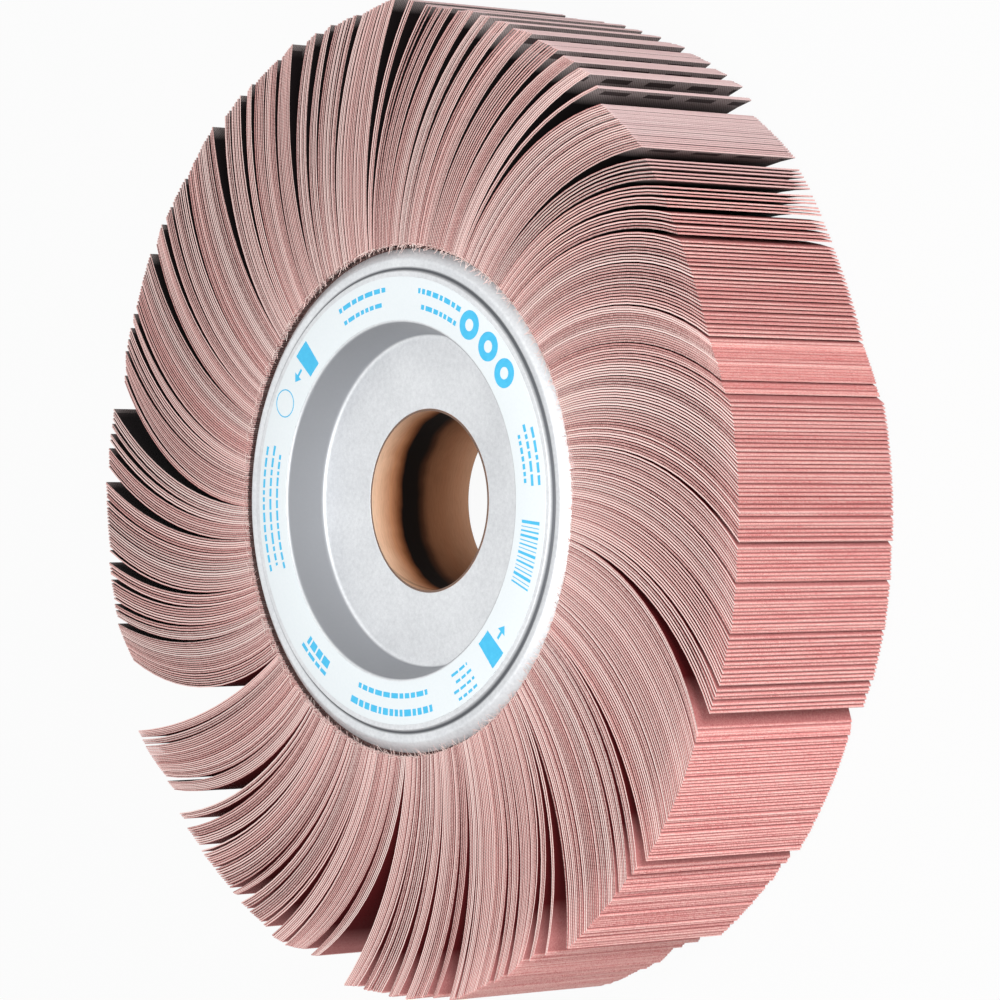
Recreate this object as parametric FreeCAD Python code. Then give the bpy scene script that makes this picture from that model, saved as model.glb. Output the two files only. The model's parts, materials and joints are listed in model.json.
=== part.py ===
import FreeCAD, Part
import math
import os

# Flap wheel: cloth flaps coated with grit stand in a ring on a hub of resin between two
# pressed steel flanges. The frame has its origin in the middle of the bore, with +Z along
# the wheel's axis towards the labelled front face. Millimetres and degrees.

# Whole wheel
WORKING_DIAMETER = 250.0      # over the flap tips when they stand straight out at speed
FLAP_WIDTH = 50.0             # along the axis
BORE_DIAMETER = 44.45         # one and three quarter inches, for the arbor
HUB_WIDTH = 32.0              # over the outer faces of the two well floors

# Pressed steel flange
FLANGE_SHEET = 1.5
FLAT_PROUD = 1.0              # how far the flat stands out from the flaps' side faces
WELL_FLOOR_DIAMETER = 82.4
WELL_MOUTH_DIAMETER = 87.6
FLAT_OUTER_DIAMETER = 112.6
GROOVE_DIAMETER = 114.2
GROOVE_DEPTH = 1.1            # below the flat
BEAD_DIAMETER = 118.6
BEAD_DEPTH = 0.7              # crest below the flat
RIM_DIAMETER = 124.8
RIM_DEPTH = 3.4               # below the flat, where the sheet's cut edge grips the flaps

# Hard paper tube that lines the bore, and the printed paper ring on the front
TUBE_WALL = 0.5
LABEL_INNER_DIAMETER = 88.8
LABEL_OUTER_DIAMETER = 110.2
LABEL_THICKNESS = 0.15

# Flaps
TANG_LENGTH = 4.9             # the part of a flap that the flanges grip, from its root
SHOULDER_GAP = 0.5            # between the flange's rim and the flaps' shoulders
SHOULDER_SIDES = 60           # straight shoulder cuts round the wheel, as every flap has its own
LEAF_PITCH = 2.4              # at the rim in a closed pack; a leaf stands for four or five flaps
SLOT_START = 19.0             # length along the flaps over which neighbours stay together
LEAF_CHORDS = 2               # straight facets along the free part of a leaf
BEND_PER_SWEEP = 3.25         # how many degrees a flap turns for each degree of sweep
PACK_CLEARANCE = 0.1          # between neighbouring packs at their roots
TIGHT = 0.34                  # share of the tip pitch left open in a closed pack
FANNED = 0.62                 # the same where the flaps stand apart one by one

# The flaps lie in packs that part from each other towards the tips. Each pack has the angle
# where its roots begin, how far its first and its last tip trail behind their roots (both
# degrees), and how open it is. A pack ends where the next one begins.
PACKS = (
    (11.5, 15.2, 17.8, TIGHT),
    (28.3, 17.2, 19.0, TIGHT),
    (48.8, 18.2, 16.0, TIGHT),
    (57.5, 14.7, 17.6, TIGHT),
    (68.2, 16.3, 16.0, TIGHT),
    (80.3, 14.8, 15.9, TIGHT),
    (91.0, 15.0, 14.9, FANNED),
    (98.4, 14.8, 12.6, FANNED),
    (101.4, 10.6, 14.0, TIGHT),
    (121.7, 11.4, 13.6, TIGHT),
    (139.5, 11.4, 14.6, TIGHT),
    (160.8, 13.1, 14.9, TIGHT),
    (170.0, 14.2, 17.1, TIGHT),
    (180.2, 16.4, 16.9, TIGHT),
    (181.5, 13.2, 13.2, TIGHT),
    (189.0, 11.6, 13.3, TIGHT),
    (199.7, 12.3, 13.6, TIGHT),
    (208.3, 12.9, 17.7, TIGHT),
    (218.6, 9.4, 16.4, TIGHT),
    (235.5, 13.5, 15.0, TIGHT),
    (252.0, 14.0, 17.3, TIGHT),
    (268.7, 16.0, 17.5, TIGHT),
    (271.7, 12.2, 14.3, TIGHT),
    (291.0, 12.4, 17.9, TIGHT),
    (310.2, 16.6, 16.1, TIGHT),
    (313.1, 13.2, 15.4, TIGHT),
    (325.8, 14.4, 15.2, TIGHT),
    (330.6, 13.4, 17.2, TIGHT),
    (349.0, 16.6, 17.9, TIGHT),
    (351.8, 15.6, 16.8, TIGHT),
)

# Sizes that follow from the ones above
FREE_LENGTH = (WORKING_DIAMETER - RIM_DIAMETER) / 2
ROOT_DIAMETER = RIM_DIAMETER - 2 * TANG_LENGTH
SHOULDER_DIAMETER = RIM_DIAMETER + 2 * SHOULDER_GAP
FLOOR_Z = HUB_WIDTH / 2
FLAT_Z = FLAP_WIDTH / 2 + FLAT_PROUD
TANG_Z = FLAT_Z - RIM_DEPTH
HOLE_DIAMETER = BORE_DIAMETER + 2 * TUBE_WALL
CORE_LENGTH = HUB_WIDTH - 2 * FLANGE_SHEET
FULL_TURN = 360.0
AXIS = FreeCAD.Vector(0, 0, 1)
CENTRE = FreeCAD.Vector(0, 0, 0)


def section_point(diameter, z):
    """A point of a half section, in the plane of X and Z."""
    return FreeCAD.Vector(diameter / 2, 0, z)


def ring(outer_diameter, inner_diameter, bottom, height):
    """A plain ring about the axis."""
    base = FreeCAD.Vector(0, 0, bottom)
    outer = Part.makeCylinder(outer_diameter / 2, height, base, AXIS)
    return outer.cut(Part.makeCylinder(inner_diameter / 2, height, base, AXIS))


def mirrored(shape):
    """The same shape on the other side of the wheel's middle plane."""
    return shape.mirror(CENTRE, AXIS)


def flange():
    """Front flange: a well for the clamp washer, a flat for the label and a beaded rim."""
    sheet = 2 * FLANGE_SHEET
    outside = [
        section_point(HOLE_DIAMETER, FLOOR_Z),
        section_point(WELL_FLOOR_DIAMETER, FLOOR_Z),
        section_point(WELL_MOUTH_DIAMETER, FLAT_Z),
        section_point(FLAT_OUTER_DIAMETER, FLAT_Z),
        section_point(GROOVE_DIAMETER, FLAT_Z - GROOVE_DEPTH),
        section_point(BEAD_DIAMETER, FLAT_Z - BEAD_DEPTH),
        section_point(RIM_DIAMETER, TANG_Z),
    ]
    inside = [
        section_point(RIM_DIAMETER - sheet, TANG_Z),
        section_point(FLAT_OUTER_DIAMETER, FLAT_Z - FLANGE_SHEET),
        section_point(WELL_MOUTH_DIAMETER + sheet, FLAT_Z - FLANGE_SHEET),
        section_point(WELL_FLOOR_DIAMETER + sheet, FLOOR_Z - FLANGE_SHEET),
        section_point(HOLE_DIAMETER, FLOOR_Z - FLANGE_SHEET),
    ]
    wire = Part.makePolygon(outside + inside + outside[:1])
    return Part.Face(wire).revolve(CENTRE, AXIS, FULL_TURN)


def core_tube():
    """Liner that runs through the holes of both flanges, flush with their well floors."""
    return ring(HOLE_DIAMETER, BORE_DIAMETER, -HUB_WIDTH / 2, HUB_WIDTH)


def resin_core():
    """Cast resin between the well floors, from the tube out to the flap roots."""
    return ring(ROOT_DIAMETER, HOLE_DIAMETER, -CORE_LENGTH / 2, CORE_LENGTH)


def label():
    """Paper ring stuck on the front flange's flat."""
    return ring(LABEL_OUTER_DIAMETER, LABEL_INNER_DIAMETER, FLAT_Z, LABEL_THICKNESS)


def polar(diameter, angle):
    """A point in plan, at an angle in degrees from the X axis."""
    turn = math.radians(angle)
    return FreeCAD.Vector(diameter / 2 * math.cos(turn), diameter / 2 * math.sin(turn), 0)


def flap_point(root_angle, sweep, share):
    """A point of a flap's bend in plan, at a share of its free length from the rim.

    The flap is an arc of fixed length whose tip trails its root by the sweep."""
    root_radius = RIM_DIAMETER / 2
    turn = math.radians(BEND_PER_SWEEP * sweep)
    trail = math.radians(sweep)
    chord = FREE_LENGTH * math.sin(turn / 2) / (turn / 2)
    tip_radius = root_radius * math.cos(trail)
    tip_radius += math.sqrt(chord ** 2 - (root_radius * math.sin(trail)) ** 2)
    across = tip_radius * math.sin(trail)
    along = tip_radius * math.cos(trail) - root_radius
    start = math.atan2(across, along) - turn / 2
    arc_radius = FREE_LENGTH / turn
    now = start + turn * share
    x = root_radius + arc_radius * (math.sin(now) - math.sin(start))
    y = -arc_radius * (math.cos(start) - math.cos(now))
    reach = 2 * math.hypot(x, y)
    return polar(reach, root_angle + math.degrees(math.atan2(y, x)))


def flap_pack(pack, end):
    """One pack: its leaves are joined near their roots and part towards their tips."""
    begin, first_sweep, last_sweep, openness = pack
    pitch = LEAF_PITCH * (1 - openness) / (1 - TIGHT)
    leaves = max(1, round(math.radians(end - begin) * RIM_DIAMETER / 2 / pitch))
    margin = math.degrees(PACK_CLEARANCE / RIM_DIAMETER)
    first, last = begin + margin, end - margin
    slot_share = SLOT_START / FREE_LENGTH

    def point(place, step):
        """A point at a place across the pack, so many chords past the slot's bottom."""
        fraction = place / leaves
        return flap_point(
            first + (last - first) * fraction,
            first_sweep + (last_sweep - first_sweep) * fraction,
            slot_share + (1 - slot_share) * step / LEAF_CHORDS)

    root_reach = ROOT_DIAMETER / math.cos(math.radians(last - first) / 2)
    points = [polar(root_reach, first), polar(RIM_DIAMETER, first)]
    for leaf in range(leaves):
        points.append(point(leaf, 0))
        for step in range(1, LEAF_CHORDS + 1):
            points.append(point(leaf + openness / 2 * step / LEAF_CHORDS, step))
        for step in range(LEAF_CHORDS, 0, -1):
            points.append(point(leaf + 1 - openness / 2 * step / LEAF_CHORDS, step))
    points += [point(leaves, 0), polar(RIM_DIAMETER, last), polar(root_reach, last)]
    profile = Part.Face(Part.makePolygon(points + points[:1]))
    profile.translate(FreeCAD.Vector(0, 0, -FLAP_WIDTH / 2))
    return profile.extrude(FreeCAD.Vector(0, 0, FLAP_WIDTH))


def shoulder_cutter():
    """Prism whose sides cut the front of the flaps to the tangs that the flanges grip."""
    across_corners = SHOULDER_DIAMETER / math.cos(math.pi / SHOULDER_SIDES)
    step = FULL_TURN / SHOULDER_SIDES
    corners = [polar(across_corners, step * side) for side in range(SHOULDER_SIDES)]
    profile = Part.Face(Part.makePolygon(corners + corners[:1]))
    profile.translate(FreeCAD.Vector(0, 0, TANG_Z))
    return profile.extrude(FreeCAD.Vector(0, 0, FLAP_WIDTH / 2 - TANG_Z))


def build():
    """All the pieces, by the names of their nodes."""
    front = flange()
    shapes = {
        "front_flange": front,
        "rear_flange": mirrored(front),
        "core_tube": core_tube(),
        "resin_core": resin_core(),
        "front_label": label(),
    }
    cutter = shoulder_cutter()
    cutters = [cutter, mirrored(cutter)]
    ends = [pack[0] for pack in PACKS[1:]] + [PACKS[0][0] + FULL_TURN]
    for number, (pack, end) in enumerate(zip(PACKS, ends), start=1):
        shapes["flap_pack_%02d" % number] = flap_pack(pack, end).cut(cutters)
    return shapes


def main():
    os.makedirs("parts", exist_ok=True)
    for node, shape in build().items():
        shape.exportStep("parts/%s.step" % node)
        print("%-14s solids %d  volume %.1f" % (node, len(shape.Solids), shape.Volume))


main()
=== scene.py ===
# %% [markdown]
# # A flap wheel, dressed for the render
#
# The wheel is an abrasive tool: about 750 flaps of coated cloth stand in a ring on a hub of
# resin between two pressed steel flanges. The construction model already has every solid at its
# real size. This notebook loads it as a fixed frame and gives each solid the look of the real
# piece: single thin flaps with grit on one face, rounded sheet metal, printed paper.

# %% Load the frame
import json
import math
import random
import bmesh
import bpy
from mathutils import Matrix, Vector


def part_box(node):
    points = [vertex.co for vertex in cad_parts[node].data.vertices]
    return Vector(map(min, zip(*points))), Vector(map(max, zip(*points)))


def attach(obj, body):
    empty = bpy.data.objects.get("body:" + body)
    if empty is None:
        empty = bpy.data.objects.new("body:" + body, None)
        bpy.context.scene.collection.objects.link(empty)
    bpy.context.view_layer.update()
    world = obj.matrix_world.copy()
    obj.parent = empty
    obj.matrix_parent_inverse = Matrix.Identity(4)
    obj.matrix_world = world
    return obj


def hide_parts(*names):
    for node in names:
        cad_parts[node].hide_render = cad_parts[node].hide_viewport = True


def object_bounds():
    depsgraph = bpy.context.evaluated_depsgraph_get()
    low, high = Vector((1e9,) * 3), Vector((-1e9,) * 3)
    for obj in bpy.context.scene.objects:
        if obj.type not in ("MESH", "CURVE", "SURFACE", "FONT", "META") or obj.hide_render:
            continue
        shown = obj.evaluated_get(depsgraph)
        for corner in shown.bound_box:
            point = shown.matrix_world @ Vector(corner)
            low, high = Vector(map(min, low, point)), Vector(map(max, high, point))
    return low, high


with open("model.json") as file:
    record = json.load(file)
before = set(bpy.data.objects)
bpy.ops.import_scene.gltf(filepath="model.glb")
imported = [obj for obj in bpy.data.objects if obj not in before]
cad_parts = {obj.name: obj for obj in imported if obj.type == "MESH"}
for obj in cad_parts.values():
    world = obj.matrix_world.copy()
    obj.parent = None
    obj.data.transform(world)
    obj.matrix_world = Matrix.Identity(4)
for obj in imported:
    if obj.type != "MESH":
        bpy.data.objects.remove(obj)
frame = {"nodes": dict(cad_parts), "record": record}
cad_low, cad_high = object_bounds()
print("solids in the frame:", len(frame["nodes"]))

# %% Units and colours
MM = 0.001


def srgb(red, green, blue):
    """A screen colour, 0 to 255, as the linear colour that a shader takes."""
    def linear(level):
        level /= 255
        return level / 12.92 if level <= 0.04045 else ((level + 0.055) / 1.055) ** 2.4
    return (linear(red), linear(green), linear(blue), 1)


print("lengths are metres, colours linear")

# %% [markdown]
# ## Driving sizes
#
# The sizes that the pieces share are worked out from the frame's boxes, so that a piece always
# sits where its solid does. A size that no box shows, such as the depth of a pressed groove, is
# a named value here.

# %% Sizes from the frame
flange_low, flange_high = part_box("front_flange")
label_low, label_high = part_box("front_label")
tube_low, tube_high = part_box("core_tube")
RIM_RADIUS = flange_high.x
FLAT_Z = flange_high.z
RIM_DEPTH = 3.4 * MM          # from the flat down to the flange's cut edge
BORE_RADIUS = frame["record"]["mounts"][0]["dims"]["r_mm"] * MM
TUBE_RADIUS = tube_high.x
print("rim radius", round(RIM_RADIUS / MM, 2), "flat at", round(FLAT_Z / MM, 2), "mm")

# %% [markdown]
# ## One way to write node trees
#
# Shader and geometry nodes are easier to read as expressions than as lists of links. `Wire`
# holds one output socket and its operators add Math nodes. `Graph.node` adds any other node: its
# settings are set first, because some of them change which sockets exist.

# %% Wires and graphs
class Wire:
    """One output socket, whose arithmetic adds Math nodes to its tree."""

    def __init__(self, graph, socket):
        self.graph = graph
        self.socket = socket

    def __add__(self, other): return self.graph.math("ADD", self, other)
    def __radd__(self, other): return self.graph.math("ADD", other, self)
    def __sub__(self, other): return self.graph.math("SUBTRACT", self, other)
    def __rsub__(self, other): return self.graph.math("SUBTRACT", other, self)
    def __mul__(self, other): return self.graph.math("MULTIPLY", self, other)
    def __rmul__(self, other): return self.graph.math("MULTIPLY", other, self)
    def __truediv__(self, other): return self.graph.math("DIVIDE", self, other)
    def __rtruediv__(self, other): return self.graph.math("DIVIDE", other, self)
    def __lt__(self, other): return self.graph.math("LESS_THAN", self, other)
    def __gt__(self, other): return self.graph.math("GREATER_THAN", self, other)
    def sin(self): return self.graph.math("SINE", self)
    def cos(self): return self.graph.math("COSINE", self)
    def sqrt(self): return self.graph.math("SQRT", self)
    def floor(self): return self.graph.math("FLOOR", self)
    def fraction(self): return self.graph.math("FRACT", self)
    def size(self): return self.graph.math("ABSOLUTE", self)
    def at_least(self, other): return self.graph.math("MAXIMUM", self, other)
    def at_most(self, other): return self.graph.math("MINIMUM", self, other)
    def angle_to(self, other): return self.graph.math("ARCTAN2", self, other)


class Graph:
    """A node tree that is being written."""

    def __init__(self, tree):
        self.tree = tree

    def node(self, kind, sockets=None, out=0, **settings):
        """Adds a node, sets it, feeds its sockets and returns one of its outputs."""
        made = self.tree.nodes.new(kind)
        stops = settings.pop("stops", None)
        for name, value in settings.items():
            setattr(made, name, value)
        if stops:
            ramp = made.color_ramp.elements
            while len(ramp) < len(stops):
                ramp.new(0.5)
            for element, (place, colour) in zip(ramp, stops):
                element.position = place
                element.color = colour
        for key, value in (sockets or {}).items():
            self.feed(made.inputs[key], value)
        return Wire(self, made.outputs[out]) if len(made.outputs) else made

    def feed(self, socket, value):
        """Links a wire to a socket, or sets the socket's own value."""
        if isinstance(value, Wire):
            self.tree.links.new(value.socket, socket)
        else:
            socket.default_value = value

    def math(self, operation, *values):
        return self.node("ShaderNodeMath", dict(enumerate(values)), operation=operation)

    def mix(self, factor, first, second):
        """A colour between two colours."""
        return self.node("ShaderNodeMix", {0: factor, 6: first, 7: second}, out=2,
                         data_type="RGBA", clamp_factor=True)

    def split(self, vector):
        """The three numbers of a vector."""
        parts = self.node("ShaderNodeSeparateXYZ", {0: vector})
        return [Wire(self, socket) for socket in parts.socket.node.outputs]

    def join(self, x, y, z):
        return self.node("ShaderNodeCombineXYZ", {0: x, 1: y, 2: z})

    def noise(self, vector, scale, detail=0.0, roughness=0.5):
        return self.node("ShaderNodeTexNoise", {
            "Vector": vector, "Scale": scale, "Detail": detail, "Roughness": roughness})

    def chance(self, number):
        """A value from 0 to 1 that is always the same for the same number."""
        return self.node("ShaderNodeTexWhiteNoise", {"W": number}, noise_dimensions="1D")

    def seen(self):
        """One where a ray comes from the camera, from a mirror or through glass."""
        outputs = self.node("ShaderNodeLightPath").socket.node.outputs
        camera, glossy, clear = (Wire(self, outputs["Is %s Ray" % kind])
                                 for kind in ("Camera", "Glossy", "Transmission"))
        return camera.at_least(glossy).at_least(clear)


print("nodes are written with Wire and Graph")

# %% Helpers for finishes
def new_finish(name):
    """A material, the graph of its nodes and its shader."""
    material = bpy.data.materials.new(name)
    material.use_nodes = True
    return material, Graph(material.node_tree), material.node_tree.nodes["Principled BSDF"]


def feed_bump(graph, shader, height, strength, depth):
    """Relief too fine for the mesh, fed to the shader's normal."""
    bump = graph.node("ShaderNodeBump", {
        "Strength": strength, "Distance": depth, "Height": height})
    graph.feed(shader.inputs["Normal"], bump)


print("a finish starts from the plain shader")

# %% [markdown]
# ## Putting a piece in the frame
#
# Every piece rides on the wheel's one body and stands for the solid that it replaces. Its object
# stays at the origin, with its place in its mesh.

# %% Helpers for pieces
def piece(name, mesh, slot, *nodes):
    """An object that stands for CAD nodes and rides on the wheel."""
    made = bpy.data.objects.new(name, mesh)
    bpy.context.scene.collection.objects.link(made)
    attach(made, "root")
    if nodes:
        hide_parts(*nodes)
    return made


def plain_mesh(source, name):
    """The evaluated shape of an object as a mesh of its own; the object goes."""
    depsgraph = bpy.context.evaluated_depsgraph_get()
    mesh = bpy.data.meshes.new_from_object(source.evaluated_get(depsgraph))
    mesh.name = name
    bpy.data.objects.remove(source)
    return mesh


def empty_holder():
    """An object with an empty mesh, for modifiers to fill."""
    holder = bpy.data.objects.new("holder", bpy.data.meshes.new("holder"))
    bpy.context.scene.collection.objects.link(holder)
    return holder


print("every piece rides on the body root")

# %% [markdown]
# ## The finish of the flaps
#
# A flap is cotton cloth with a coat of fine red grit on its outer face. Three surfaces show: the
# grit on the tread, the bare cloth inside the open gaps, and the cut edges that make the side of
# the wheel. The geometry tree below stores on each flap which surface a face belongs to
# (`layer`), how far a point lies from root to tip (`reach`), a shade for each flap, a tone that
# drifts over many flaps, and the place on the flat cloth, so that the weave follows the bend.
# Three things depend on where a point is on the wheel, and all are painted light and shade: a
# painted grey sheen on the tread at the top of the picture, painted shade in the gaps on the side
# that is turned from the light, and painted shade on the cut corners beside the flange's rim. Deep
# in the gaps and just under the next flap's tip, the grit and the cloth also take painted shade.

# %% Colours and sizes of the cloth
GRIT_LIGHT = srgb(243, 172, 168)
GRIT_DARK = srgb(206, 114, 113)
GRIT_PAINTED_SHADE = srgb(84, 22, 24)
EDGE_GREY = srgb(212, 196, 190)
EDGE_PINK = srgb(214, 168, 162)
EDGE_LIGHT = srgb(236, 218, 212)
EDGE_DARK = srgb(112, 82, 79)
TIP_PALE = srgb(250, 214, 206)
# painted sheen on the tread at the top
PAINTED_SHEEN_GREY = srgb(208, 190, 190)
CLOTH_LIGHT = srgb(206, 196, 194)
CLOTH_DARK = srgb(122, 110, 109)
CLOTH_PAINTED_SHADE = srgb(17, 12, 13)
PRINT_DARK = srgb(40, 30, 32)
SHOULDER_SHADE = srgb(58, 42, 40)
GRAINS_PER_METRE = 2900
THREADS_PER_METRE = 1350
COAT_PLACE = 0.11 * MM        # the coat begins this far from the middle of the cloth
TIP_LAYER = 0.3               # what the tree stores as `layer` on the cut tips
PRINT_REACH, PRINT_HALF = 0.958, 0.018  # middle and half height of the bars on the back
PRINTS_PER_METRE = 72
# painted shade: the cloth darkens deep in the gaps and towards -X
SHADE_REACH = 0.955            # further in than this share of its length, the cloth is dark
# painted sheen: the tread turns grey towards +Y
SHEEN_FROM, SHEEN_OVER = 70 * MM, 16 * MM  # in +Y, where the tread turns grey
TURN_FROM, TURN_OVER = 34 * MM, 16 * MM  # in -X, where the gaps turn dark
SHOULDER_REACH = 0.0078       # the cut corners beside the rim, as a share of the length
SHOULDER_HALF, SHOULDER_RAGGED = 23.7 * MM, 1.4 * MM
print("weave of", THREADS_PER_METRE, "threads per metre")

# %% Abrasive cloth
def abrasive_cloth():
    material, graph, shader = new_finish("abrasive_cloth")

    def attribute(name, out="Fac"):
        return graph.node("ShaderNodeAttribute", attribute_name=name, out=out)

    layer = attribute("layer")
    reach = attribute("reach")
    shade = attribute("shade")
    tone = attribute("tone")
    place = attribute("flap_place", "Vector")
    along, across, depth = graph.split(place)
    grain = graph.noise(place, GRAINS_PER_METRE, detail=2.0)
    cloud = graph.noise(place, 60.0, detail=2.0)
    streak = graph.noise(graph.join(along * 500, across * 40, 0.0), 1.0, detail=2.0) - 0.5

    grit = graph.mix(grain * 1.6 - 0.3, GRIT_DARK, GRIT_LIGHT)
    grit = graph.mix((cloud - 0.45) * 1.0 + (shade - 0.5) * 0.35, grit, GRIT_LIGHT)
    # painted shade: the grit darkens just under the next flap's tip and further into the gaps
    grit = graph.mix(((0.992 - reach) * 250).at_most(0.35), grit, GRIT_PAINTED_SHADE)
    grit = graph.mix((0.94 - reach) * 7.0, grit, GRIT_PAINTED_SHADE)
    worn = ((reach - 0.9935) * 400).at_least(0).at_most(1)
    pale = (grain - 0.5) * 1.3 + streak * 1.0 + (shade - 0.5) * 0.3
    grit = graph.mix(worn * (pale + 0.35), grit, TIP_PALE)
    x, y, z = graph.split(graph.node("ShaderNodeTexCoord", out="Object"))
    # painted sheen: the tread and its tips turn grey at the top
    painted_sheen = ((y - SHEEN_FROM) / SHEEN_OVER).at_least(0).at_most(1)
    grit = graph.mix(painted_sheen * (0.85 + streak), grit, PAINTED_SHEEN_GREY)

    weft = (along * THREADS_PER_METRE * math.tau).sin()
    warp = (across * THREADS_PER_METRE * math.tau).sin()
    twill = weft * warp * 0.5 + 0.5
    cloth = graph.mix(twill * 0.7 + (grain - 0.5) * 0.8, CLOTH_DARK, CLOTH_LIGHT)
    in_row = (reach - PRINT_REACH).size() < PRINT_HALF
    bars = in_row * ((across * PRINTS_PER_METRE + shade * 3).fraction() < 0.62)
    cloth = graph.mix(bars * (shade > 0.2) * 0.85, cloth, PRINT_DARK)
    # painted shade on the cloth deep in the gaps and on the side turned from the light
    painted_shade_side = ((TURN_FROM - x) / TURN_OVER).at_least(0).at_most(1)
    cloth = graph.mix((SHADE_REACH - reach) * 9.0 + painted_shade_side * 0.93, cloth, CLOTH_PAINTED_SHADE)

    at_tip = (layer - TIP_LAYER).size() < 0.1
    ends = weft + (warp - weft) * at_tip
    edge = graph.mix((tone - 0.3) * 2.2, EDGE_PINK, EDGE_GREY)
    edge = graph.mix(0.56 - shade * 0.5 - ends * 0.09 + (grain - 0.5) * 1.7, edge, EDGE_DARK)
    edge = graph.mix(ends * 0.14 + (grain - 0.42) * 1.9 + (shade - 0.6) * 0.8, edge, EDGE_LIGHT)
    edge = graph.mix((depth > COAT_PLACE) * 0.7, edge, GRIT_DARK)
    edge = graph.mix(at_tip * 0.75, edge, graph.mix(pale + 0.5, GRIT_DARK, TIP_PALE))
    edge = graph.mix(at_tip * painted_sheen * 0.7, edge, PAINTED_SHEEN_GREY)
    corner = SHOULDER_HALF + (grain - 0.5) * SHOULDER_RAGGED
    shaded = (reach < SHOULDER_REACH) * (across.size() < corner)
    edge = graph.mix(shaded * 0.85, edge, SHOULDER_SHADE)

    colour = graph.mix(layer > 0.5, edge, grit)
    colour = graph.mix(layer < -0.5, colour, cloth)
    graph.feed(shader.inputs["Base Color"], colour)
    graph.feed(shader.inputs["Roughness"], 0.72 + grain * 0.2)
    feed_bump(graph, shader, grain * 0.6 + twill * (layer < 0.5) * 0.4, 0.5, 0.06 * MM)
    shader.inputs["Specular IOR Level"].default_value = 0.1
    return material


cloth_finish = abrasive_cloth()
print("finish:", cloth_finish.name)

# %% [markdown]
# ## The flaps
#
# A flap is a strip of fixed length. The flanges grip its tang, and outside the rim it bends
# backwards in an arc, the more the further its tip trails behind its root. Neighbours lie almost
# parallel, in bundles that part towards the tips. That is a rule with a few numbers, so one
# Geometry Nodes tree makes every bundle: it instances a thin box, numbers the copies, and moves
# each point to its place on the arc.
#
# Inside a bundle the tips close up in twos and threes and in clumps of seven or so. The tree first
# works out how far apart the tips of neighbours lie (`apart`). What is free of it (`slack`) is all
# that the pushes share, and where a bundle closes up, its flaps are pressed thinner at their tips.
# A flap that is longer or whose root strays keeps its own line, so that it stays clear too.

# %% Helpers for geometry trees
def store(graph, mesh, name, value, domain="POINT", kind="FLOAT"):
    """Keeps a value on the mesh, for the shader."""
    return graph.node("GeometryNodeStoreNamedAttribute", {
        "Geometry": mesh, "Name": name, "Value": value}, data_type=kind, domain=domain)


def open_tree(name, inputs, result):
    """A geometry tree with these inputs and one output."""
    tree = bpy.data.node_groups.new(name, "GeometryNodeTree")
    for title, kind in inputs:
        tree.interface.new_socket(title, in_out="INPUT", socket_type="NodeSocket" + kind)
    tree.interface.new_socket(result, in_out="OUTPUT", socket_type="NodeSocketGeometry")
    graph = Graph(tree)
    entry = tree.nodes.new("NodeGroupInput")
    return tree, graph, {title: Wire(graph, entry.outputs[title]) for title, kind in inputs}


def numbered_copies(graph, shape, count, name):
    """Copies of a shape in one place, and the number of the copy that a point is in."""
    line = graph.node("GeometryNodeMeshLine", {"Count": count, "Offset": (0, 0, 0)})
    copies = graph.node("GeometryNodeInstanceOnPoints", {"Points": line, "Instance": shape})
    copies = store(graph, copies, name, graph.node("GeometryNodeInputIndex"), "INSTANCE")
    solid = graph.node("GeometryNodeRealizeInstances", {"Geometry": copies})
    number = graph.node("GeometryNodeInputNamedAttribute", {"Name": name}, data_type="FLOAT")
    return solid, number


def close_tree(graph, solid, finish, result):
    """Makes the last instances real, sets the finish and hands the result out."""
    solid = graph.node("GeometryNodeRealizeInstances", {"Geometry": solid})
    solid = graph.node("GeometryNodeSetMaterial", {"Geometry": solid, "Material": finish})
    graph.node("NodeGroupOutput", {result: solid})


def set_inputs(modifier, values):
    """Sets a modifier's inputs by the names that its tree gives them."""
    for item in modifier.node_group.interface.items_tree:
        if item.in_out == "INPUT" and item.name in values:
            modifier[item.identifier] = values[item.name]


print("a tree is opened, filled and closed")

# %% Sizes of the flap tree
FLAP_ROWS = 16                # rows of points from root to tip
SHOULDER_ROWS = 2             # rows below the shoulder's outer corner
FLAP_COLUMNS = 4              # rows of points from rear edge to front edge
BEND_PER_SWEEP = 3.25         # a flap turns this much for each degree that its tip trails
TIP_RADIUS = 120 * MM         # about where the tips lie
TIP_DROP = 48 * MM            # how much nearer to the axis a tip comes, per radian of sweep
LEAN_PER_SWEEP = 2.65         # between a flap's tip and the radius through it, in sweeps
TIGHTEST = 1.03               # least place for a flap at the tips, in thicknesses
PRESSED, PRESSED_OFF = 0.93, 0.01 * MM  # a pressed tip: this share of its place, less this
ROOT_SWELL = 1.14             # how much thicker a flap is at the rim than at its tip
CLUMP, PAIR = 7.5, 2.7        # flaps in a clump, and in a small group inside it
CLUMP_PUSH, PAIR_PUSH = 0.42, 0.16  # how much of the slack each closes, for one flap
LONE_PUSH, LONE_CLUMPED = 0.14, 0.16  # a flap's own push, and what full clumping adds
LENGTH_SPREAD = 0.008         # of the free length
WIDTH_SPREAD = 0.18 * MM
ROOT_SPREAD = 0.12            # of the pitch at the rim
TANG_STEP = 0.05 * MM         # between the shoulder's two rows of points
CLOTH_STEP = 11.3 * MM        # shift of the weave from one flap to the next
print("points on a flap:", 2 * FLAP_ROWS * FLAP_COLUMNS)

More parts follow.
